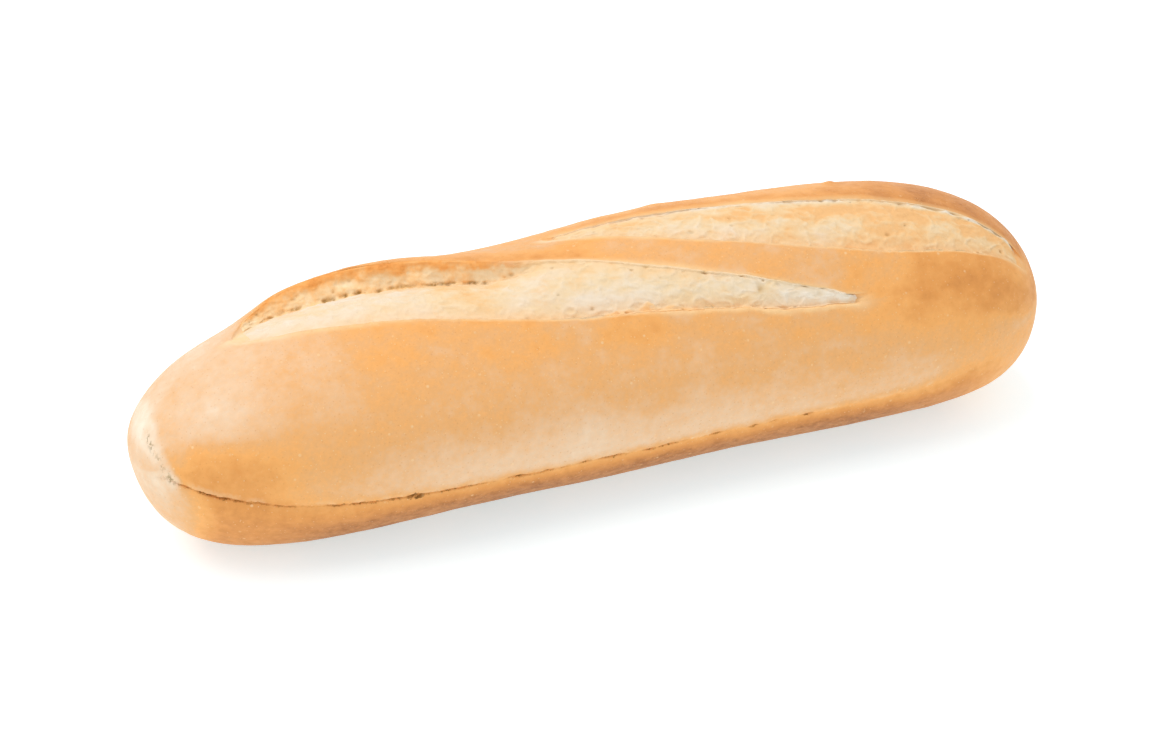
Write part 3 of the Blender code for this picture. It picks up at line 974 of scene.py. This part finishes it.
def build_crumb(name, slash, material, seed):
    """The crumb of one slash: a closed pad that bulges between the two edges of the crust.

    Its top runs from under the near edge up to just under the far one, with the ear's whole torn
    face, and sinks under the crust at its borders. Its underside lies deeper, within the loaf.
    """
    # The form before its fine relief
    skin = crumb_grid(slash)
    x, inside = skin.x / MM, skin.line - slash.first
    lift, drag, across = torn_form(slash, skin)
    share = slash_share(slash, skin.x)
    past = healed(slash, share)
    alive = between(share, 0.004, 0.03, 0.955, 0.992)
    sinking = smooth(skin.past(slash.first + 3), 0.1 * OVERLAP, 0.9 * OVERLAP)
    sinking = np.where(past > 0, sinking, smooth(inside, 2.975, 2.99))
    borders = 1.6 * fall(inside, 0.3, 0.75) + (0.3 + 0.6 * past) * sinking
    base = skin.points(lift - (borders + 1.2 * (1 - alive)) * MM, drag)

    # What was torn out of it or stands on it, in mm
    face = (1 - past) * smooth(inside, 1.97, 2.12)
    pits, scallop = pits_and_scallops(slash, skin, base, across, past, seed)
    holes = small_holes(base, seed + 40, 34, 0.15, 0.9)
    flake = np.zeros_like(x)
    if slash.ear:
        holes = np.maximum(holes, 0.7 * face * small_holes(base, seed + 41, 50, 0.55, 0.95))
        flake = near_flake(skin, slash.first + 1)
    woolly = 0.4 if slash.ear else 0.55
    torn = torn_relief(base, seed)
    rough = clouds(base, 3.0, seed + 21, 3)
    white_edge = bump(across, 0.9 + 0.04 * rough, 0.045) * smooth(x, 78, 90) * past
    white_edge = white_edge * np.clip(0.75 + 0.9 * rough, 0.1, 1)
    relief = (0.36 + 0.2 * woolly) * torn * (1 - 0.4 * face) + 0.8 * rough * face
    relief = relief + 0.3 * flake + 0.35 * white_edge
    relief = relief * between(inside, 0.55, 0.9, 2.86, 2.97)
    relief = relief + 0.28 * smooth(inside, 2.6, 2.85) * (1 - sinking)
    relief = relief - 0.45 * holes - 0.7 * pits - 0.6 * scallop
    back = np.linspace(CRUMB_LINES - 1, 0, CRUMB_UNDER + 2)[1:-1].astype(int)
    points = with_underside(base, back, alive * relief * MM)

    # The numbers that its finish reads
    far_edge = 0.8 * smooth(across, 0.6, 0.95) * fall(x, 8, 42)
    far_edge = np.maximum(far_edge, 0.7 * smooth(across, 0.95, 0.995)) * past
    rim = np.clip(inside - 2, 0, 1) + 0.28 * clouds(base, 4.0, seed + 31, 3)
    toast = 0.32 + 0.34 * rough + 0.44 * smooth(rim, 0.55, 0.92)
    toast = toast - 0.08 * smooth(x, -52, -42) - 0.2 * smooth(-x, 80, 88)
    fields = {
        "face": face,
        "toast": np.clip(toast, 0, 1),
        "flake": flake,
        # Pits, holes and scallops, which the finish paints dark, partly as painted shade.
        "hollow_tone_and_shade": np.clip(pits + 0.4 * holes + 0.5 * scallop, 0, 1),
        "edge": np.maximum(fall(inside, 0.8, 1.6), far_edge),
        "white": np.clip(whiteness(slash, skin, base, across) + white_edge, 0, 1),
        # The torn relief's height, which the finish paints as highlight on ridges and shade in
        # furrows.
        "torn": np.clip(0.5 + 0.7 * woolly * torn, 0, 1),
    }
    fields = {key: np.concatenate([top, top[:, back]], axis=1) for key, top in fields.items()}
    dress(closed_tube(name, points, points[[0, -1]].mean(axis=1), fields), material)


# ---- finishes

def tone(red, green, blue):
    """A colour as the eye reads it, 0 to 255, turned into the light that a shader works in."""
    shares = np.array([red, green, blue]) / 255
    light = np.where(shares <= 0.04045, shares / 12.92, ((shares + 0.055) / 1.055) ** 2.4)
    return (*light.tolist(), 1.0)


class Finish:
    """One material's nodes, added by short calls. Sizes are in mm, and tones are 0 to 255."""

    def __init__(self, name):
        self.material = bpy.data.materials.new(name)
        self.material.use_nodes = True
        self.tree = self.material.node_tree
        self.place = self.add("ShaderNodeTexCoord").outputs["Object"]
        self.colour = None

    def add(self, kind, sockets=(), **settings):
        """A node with its settings, and its sockets linked or set."""
        node = self.tree.nodes.new(kind)
        for key, value in settings.items():
            setattr(node, key, value)
        self.put(node, sockets)
        return node

    def put(self, node, sockets):
        """Link each socket to an output, or set it to a value."""
        for key, value in dict(sockets).items():
            if isinstance(value, bpy.types.NodeSocket):
                self.tree.links.new(value, node.inputs[key])
            else:
                node.inputs[key].default_value = value

    def shader(self, sockets):
        """Link or set sockets of the shader itself."""
        self.put(self.tree.nodes["Principled BSDF"], sockets)
        return self.material

    def field(self, name):
        """One of the piece's own attributes."""
        return self.add("ShaderNodeAttribute", attribute_name=name).outputs["Fac"]

    def noise(self, cell, detail=3.0, roughness=0.5, distortion=0.0, place=None):
        """Noise with a cell of about this size."""
        return self.add("ShaderNodeTexNoise", {
            "Vector": place or self.place, "Scale": 1.0 / (cell * MM), "Detail": detail,
            "Roughness": roughness, "Distortion": distortion,
        }).outputs["Fac"]

    def torn_noise(self, sizes, distortion=0.0):
        """Noise in cells of these sizes along, across and up, turned with the torn strands."""
        turned = self.add("ShaderNodeMapping", {
            "Vector": self.place, "Rotation": (0.0, 0.0, math.radians(-TORN_ASLANT)),
        }).outputs["Vector"]
        place = self.add("ShaderNodeMapping", {
            "Vector": turned, "Scale": tuple(1.0 / size for size in sizes),
        }).outputs["Vector"]
        return self.noise(1.0, 4.0, 0.6, distortion, place)

    def sum(self, first, second, amount=1.0):
        """first + second x amount."""
        return self.add("ShaderNodeMath", {0: second, 1: amount, 2: first},
                        operation="MULTIPLY_ADD").outputs[0]

    def centred(self, value):
        """A value less one half."""
        return self.sum(-0.5, value)

    def times(self, first, second):
        """first x second."""
        return self.add("ShaderNodeMath", {0: first, 1: second}, operation="MULTIPLY").outputs[0]

    def step(self, value, low, high, start=0.0, stop=1.0):
        """start below low, stop above high and an S-curve between."""
        return self.add("ShaderNodeMapRange", {
            "Value": value, "From Min": low, "From Max": high, "To Min": start, "To Max": stop,
        }, interpolation_type="SMOOTHSTEP").outputs["Result"]

    def ramp(self, value, *stops):
        """Tones along a value. Each stop is its place and its tone."""
        node = self.add("ShaderNodeValToRGB", {"Fac": value})
        elements = node.color_ramp.elements
        while len(elements) < len(stops):
            elements.new(0.5)
        for element, (place, *colour) in zip(elements, stops):
            element.position = place
            element.color = tone(*colour)
        return node.outputs["Color"]

    def lay(self, share, colour, kind="MIX"):
        """Lay a colour over the finish so far, by a share."""
        self.colour = self.add("ShaderNodeMix", {
            0: share, 6: self.colour, 7: colour,
        }, data_type="RGBA", blend_type=kind).outputs[2]

    def specks(self, cell, radius, shift=0.0):
        """Round specks of this radius, one round a scattered point in each cell."""
        place = self.add("ShaderNodeMapping", {
            "Vector": self.place, "Location": (shift * MM,) * 3,
        }).outputs["Vector"]
        away = self.add("ShaderNodeTexVoronoi", {
            "Vector": place, "Scale": 1.0 / (cell * MM), "Randomness": 1.0,
        }).outputs["Distance"]
        return self.step(away, 0.45 * radius / cell, radius / cell, 1.0, 0.0)

    def relief(self, height, distance, strength, **under):
        """Bump of this height, over the bump given as Normal."""
        return self.add("ShaderNodeBump", {
            "Height": height, "Distance": distance * MM, "Strength": strength, **under,
        }).outputs["Normal"]


def crust_finish():
    """Baked crust: mottled gold with fine pale and dark specks, and brown lines in the cracks,
    with brown painted shade beside them.
    """
    paint = Finish("crust")
    mottle = paint.noise(2.6, 4.0, 0.62)
    grain = paint.noise(0.8, 3.0, 0.65)
    bake_and_painted_light = paint.sum(paint.field("bake_and_painted_light"), paint.centred(mottle), 0.24)
    bake_and_painted_light = paint.sum(bake_and_painted_light, paint.centred(grain), 0.14)
    paint.colour = paint.ramp(
        bake_and_painted_light, (0.0, 244, 227, 204), (0.2, 235, 200, 164), (0.45, 233, 174, 112),
        (0.58, 241, 173, 99), (0.75, 224, 152, 80), (0.88, 202, 133, 70), (1.0, 152, 92, 46),
    )
    some = paint.noise(5.0, 1.0)
    small = paint.times(paint.specks(1.2, 0.22), 0.7)
    large = paint.times(paint.specks(3.1, 0.5), paint.step(some, 0.42, 0.6))
    pale = paint.times(paint.sum(small, large, 0.8), paint.step(mottle, 0.3, 0.65, 0.1, 0.75))
    paint.lay(pale, tone(247, 212, 162))
    paint.lay(paint.times(paint.specks(1.3, 0.24, 9.0), 0.28), tone(204, 134, 70))
    wobble = paint.centred(paint.noise(0.8, 4.0, 0.7))
    height = paint.sum(paint.field("crack_height"), wobble, 2.6)
    broken = paint.step(paint.noise(1.1, 2.0), 0.4, 0.54, 0.15, 1.0)
    depth = paint.field("crack_depth")
    pocket = paint.field("pocket")
    low = paint.step(paint.sum(height, pocket, 0.9), -0.35, -0.15)
    high = paint.step(paint.sum(height, pocket, -0.7), 0.1, 0.3, 1.0, 0.0)
    dark = paint.times(paint.times(low, high), paint.times(depth, broken))
    edge = paint.times(paint.step(height, 0.1, 0.5), paint.step(height, 0.7, 2.2, 1.0, 0.0))
    edge = paint.times(edge, paint.field("crack_lip"))
    paint.lay(paint.times(edge, paint.step(some, 0.45, 0.7, 0.0, 0.25)), tone(243, 218, 180))
    # Painted shade, partly browner crust: a soft brown on both sides of the crack.
    brown_and_shade_by_crack = paint.times(paint.step(height, -1.4, 0.0), paint.step(height, 0.0, 1.2, 1.0, 0.0))
    paint.lay(paint.times(paint.times(brown_and_shade_by_crack, depth), 0.3), tone(206, 138, 74))
    paint.lay(dark, tone(130, 84, 22))
    rim = paint.times(paint.field("rim"), paint.step(mottle, 0.25, 0.6, 0.45, 0.9))
    paint.lay(rim, tone(245, 206, 152))
    stain = paint.times(paint.field("tear"), paint.step(paint.noise(0.9, 3.0, 0.6), 0.46, 0.57))
    paint.lay(paint.times(stain, 0.8), tone(146, 122, 78))
    shade = paint.sum(paint.sum(0.9, grain, 0.1), paint.noise(1.6), 0.1)
    paint.lay(1.0, shade, "MULTIPLY")
    fine = paint.relief(grain, 0.08, 0.8)
    coarse = paint.relief(mottle, 0.3, 0.5, Normal=fine)
    return paint.shader({
        "Base Color": paint.colour, "Roughness": paint.step(mottle, 0.2, 0.8, 0.46, 0.62),
        "Normal": paint.relief(pale, 0.12, 0.6, Normal=coarse), "Specular IOR Level": 0.25,
    })


def crumb_finish():
    """Torn crumb: white to yellow cream with light toasted flecks, lighter on its ridges and
    more golden in its furrows, partly as painted highlight and painted shade.

    The ear's face is toasted from peach at its foot to orange at its top. Holes, pits and
    scallops are olive brown, partly as painted shade.
    """
    paint = Finish("crumb")
    soft = paint.torn_noise((4.0, 2.0, 2.6))
    flecks = paint.torn_noise((4.6, 2.6, 3.0), 0.6)
    spots = paint.noise(1.1, 3.0, 0.6)
    torn = paint.centred(paint.field("torn"))
    white = paint.sum(paint.field("white"), paint.centred(soft), 0.8)
    # Painted highlight and shade, partly the crumb's own tones: ridges whiter, furrows more golden.
    paint.colour = paint.ramp(
        paint.sum(white, torn, 0.7), (0.0, 240, 188, 128), (0.25, 239, 202, 152),
        (0.5, 237, 211, 172), (1.0, 235, 222, 203),
    )
    yellow = paint.sum(1.0, paint.field("white"), -0.7)
    toasted = paint.times(paint.step(flecks, 0.5, 0.74), yellow)
    paint.lay(paint.times(toasted, 0.6), tone(243, 190, 126))
    edge = paint.times(paint.field("edge"), paint.step(soft, 0.3, 0.65, 0.3, 0.8))
    paint.lay(edge, tone(245, 203, 150))
    uneven = paint.sum(paint.times(paint.centred(spots), 0.45), paint.centred(soft), 0.4)
    face = paint.ramp(
        paint.sum(paint.field("toast"), uneven), (0.1, 248, 222, 182), (0.3, 248, 208, 156),
        (0.52, 247, 188, 122), (0.72, 246, 172, 96), (0.9, 234, 154, 78), (1.0, 204, 128, 62),
    )
    paint.lay(paint.field("face"), face)
    fleck = paint.times(paint.field("flake"), paint.step(flecks, 0.35, 0.6, 0.15, 0.8))
    paint.lay(fleck, tone(246, 196, 134))
    # Painted shade, partly olive-brown crumb: pits, holes and scallops are laid darker.
    hollow_tone_and_shade = paint.times(paint.field("hollow_tone_and_shade"), paint.step(spots, 0.25, 0.6, 0.7, 1.0))
    paint.lay(hollow_tone_and_shade, tone(166, 126, 58))
    shade = paint.sum(paint.sum(0.95, torn, 0.12), paint.noise(0.9), 0.08)
    paint.lay(1.0, shade, "MULTIPLY")
    fine = paint.relief(paint.noise(0.5), 0.08, 0.7)
    return paint.shader({
        "Base Color": paint.colour, "Roughness": 0.7, "Specular IOR Level": 0.2,
        "Normal": paint.relief(soft, 0.2, 0.5, Normal=fine),
    })


# ---- studio

PHOTO_WIDTH = 1160             # pixels
SENSOR = 36.0                  # mm
CAMERA_AZIMUTH = -21.175       # degrees round from the front, and up
CAMERA_ELEVATION = 31.917
CAMERA_ROLL = -0.236
CAMERA_DISTANCE = 596.5 * MM
CAMERA_FOCAL = 2364.55         # pixels at the photo's width
CAMERA_TARGET = (-5.7 * MM, TIP_LINE, 24.58 * MM)

FLOOR_HALF = 3.0
FLOOR_COLOUR = (0.82, 0.76, 0.74, 1.0)
FLOOR_GLOW = (0.34, 0.5, 0.555, 1.0)     # brings the lit floor to the photo's plain white
SURROUNDINGS = 0.77                      # strength of the white light from all sides
LIT_PLACE = Vector((0.0, 0.0, 0.03))
# Name, place, side of the square and power in watts of each soft light
LIGHTS = (
    ("key", Vector((-0.55, 0.1, 0.95)), 0.6, 3.1),
    ("overhead", Vector((0.05, 0.28, 1.2)), 0.3, 2.85),
)


def place_camera():
    """The photo's view: turned round, tipped up and rolled, then back from the target."""
    turns = zip((CAMERA_AZIMUTH, 90.0 - CAMERA_ELEVATION, CAMERA_ROLL), "ZXZ")
    azimuth, tip, roll = (Matrix.Rotation(math.radians(turn), 4, axis) for turn, axis in turns)
    camera = add_object("camera", bpy.data.cameras.new("camera"))
    camera.data.sensor_width = SENSOR
    camera.data.lens = CAMERA_FOCAL / PHOTO_WIDTH * SENSOR
    camera.data.clip_start = 0.01
    back = Matrix.Translation((0.0, 0.0, CAMERA_DISTANCE))
    camera.matrix_world = Matrix.Translation(CAMERA_TARGET) @ azimuth @ tip @ roll @ back
    bpy.context.scene.camera = camera


def build_studio():
    """Pale floor, even white surroundings, and two soft lights: from the left and from above."""
    half = FLOOR_HALF
    mesh = bpy.data.meshes.new("floor")
    mesh.from_pydata([(-half, -half, 0), (half, -half, 0), (half, half, 0), (-half, half, 0)],
                     [], [(0, 1, 2, 3)])
    mesh.materials.append(Finish("floor").shader({
        "Base Color": FLOOR_COLOUR, "Emission Color": FLOOR_GLOW, "Emission Strength": 1.0,
        "Roughness": 0.9, "Specular IOR Level": 0.0,
    }))
    add_object("floor", mesh)
    world = bpy.data.worlds.new("surroundings")
    world.use_nodes = True
    background = world.node_tree.nodes["Background"]
    background.inputs["Color"].default_value = (1.0, 1.0, 1.0, 1.0)
    background.inputs["Strength"].default_value = SURROUNDINGS
    bpy.context.scene.world = world
    for name, place, size, power in LIGHTS:
        light = bpy.data.lights.new(name, "AREA")
        light.shape = "SQUARE"
        light.size = size
        light.energy = power
        holder = add_object(name, light)
        holder.rotation_mode = "QUATERNION"
        holder.rotation_quaternion = (LIT_PLACE - place).to_track_quat("-Z", "Y")
        holder.location = place
    view = bpy.context.scene.view_settings
    view.view_transform = "Standard"
    view.look = "None"


place_camera()
build_studio()
crumb_paint = crumb_finish()
build_crust(crust_finish())
build_crumb("left_slash_crumb", LEFT_SLASH, crumb_paint, 100)
build_crumb("right_slash_crumb", RIGHT_SLASH, crumb_paint, 200)
